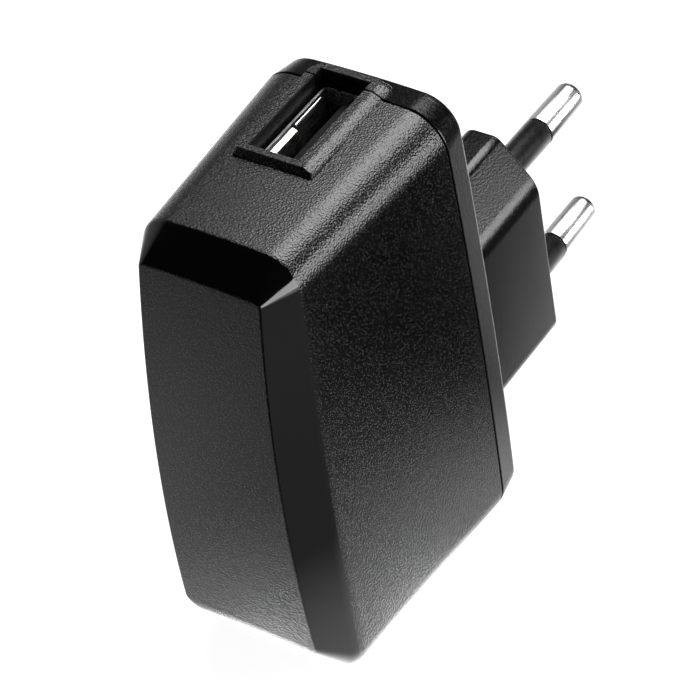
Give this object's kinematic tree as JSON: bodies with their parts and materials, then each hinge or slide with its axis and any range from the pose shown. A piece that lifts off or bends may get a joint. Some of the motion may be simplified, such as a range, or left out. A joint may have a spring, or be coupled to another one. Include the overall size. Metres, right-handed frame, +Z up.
{
  "type": "usb wall charger",
  "caption": "Slim USB wall charger: black housing with a bowed front and polished bevel, upright USB port in a raised collar on top, hexagonal Europlug block with sleeved round pins",
  "frame": {"origin": "centre of the plug block's end face, midway between the two pins, where the charger meets the socket", "axes": "+Y along the pins, away from the charger, along its longest extent; +Z up, toward the USB port; +X to the right seen from the front, along its shortest extent"},
  "size_m": [0.0246, 0.076, 0.0628],
  "materials": {
    "casing_plastic": "black moulded plastic with a fine spark-eroded grain and a polished bevel round the front face",
    "pin_nickel": "bright nickel plating over brass, lightly drawn along the pin",
    "sleeve_plastic": "smooth black insulating sleeve",
    "shell_steel": "nickel-plated folded steel sheet",
    "tongue_plastic": "black moulded insulator",
    "contact_gold": "gold-flashed spring alloy",
    "board_laminate": "bare phenolic paper board",
    "ferrite": "dull grey-black ferrite",
    "bobbin_plastic": "black moulded bobbin",
    "winding_tape": "yellow polyester tape over the winding",
    "capacitor_sleeve": "shrunk film sleeve over an aluminium can",
    "disc_ceramic": "blue epoxy dip over a ceramic disc",
    "resistor_coat": "lacquer over a wound resistor",
    "chip_epoxy": "moulded epoxy package",
    "lead_insulation": "PVC-insulated stranded wire"
  },
  "bodies": {
    "charger": {"front_housing": "casing_plastic", "rear_cover": "casing_plastic", "pin_upper": "pin_nickel", "pin_lower": "pin_nickel", "pin_sleeve_upper": "sleeve_plastic", "pin_sleeve_lower": "sleeve_plastic", "usb_shell": "shell_steel", "usb_tongue": "tongue_plastic", "main_board": "board_laminate", "transformer_core_front": "ferrite", "transformer_core_rear": "ferrite", "transformer_bobbin": "bobbin_plastic", "transformer_winding": "winding_tape", "input_capacitor_1": "capacitor_sleeve", "input_capacitor_2": "capacitor_sleeve", "output_capacitor": "capacitor_sleeve", "y_capacitor": "disc_ceramic", "fusible_resistor": "resistor_coat", "output_diode": "chip_epoxy", "bridge_rectifier": "chip_epoxy", "control_chip": "chip_epoxy", "optocoupler": "chip_epoxy", "line_lead_upper": "lead_insulation", "line_lead_lower": "lead_insulation"},
    "contact_1": {"usb_contact_1": "contact_gold"},
    "contact_2": {"usb_contact_2": "contact_gold"},
    "contact_3": {"usb_contact_3": "contact_gold"},
    "contact_4": {"usb_contact_4": "contact_gold"}
  },
  "joints": [
    {"name": "contact_1_spring", "type": "hinge", "parent": "charger", "child": "contact_1", "pos_m": [-0.00107, -0.03185, 0.0298], "axis": [0, 1, 0], "range_deg": [0, 2.5], "stiffness_Nm_per_rad": 0.1},
    {"name": "contact_2_spring", "type": "hinge", "parent": "charger", "child": "contact_2", "pos_m": [-0.00107, -0.02935, 0.0298], "axis": [0, 1, 0], "range_deg": [0, 2.5], "stiffness_Nm_per_rad": 0.1},
    {"name": "contact_3_spring", "type": "hinge", "parent": "charger", "child": "contact_3", "pos_m": [-0.00107, -0.02735, 0.0298], "axis": [0, 1, 0], "range_deg": [0, 2.5], "stiffness_Nm_per_rad": 0.1},
    {"name": "contact_4_spring", "type": "hinge", "parent": "charger", "child": "contact_4", "pos_m": [-0.00107, -0.02485, 0.0298], "axis": [0, 1, 0], "range_deg": [0, 2.5], "stiffness_Nm_per_rad": 0.1}
  ]
}
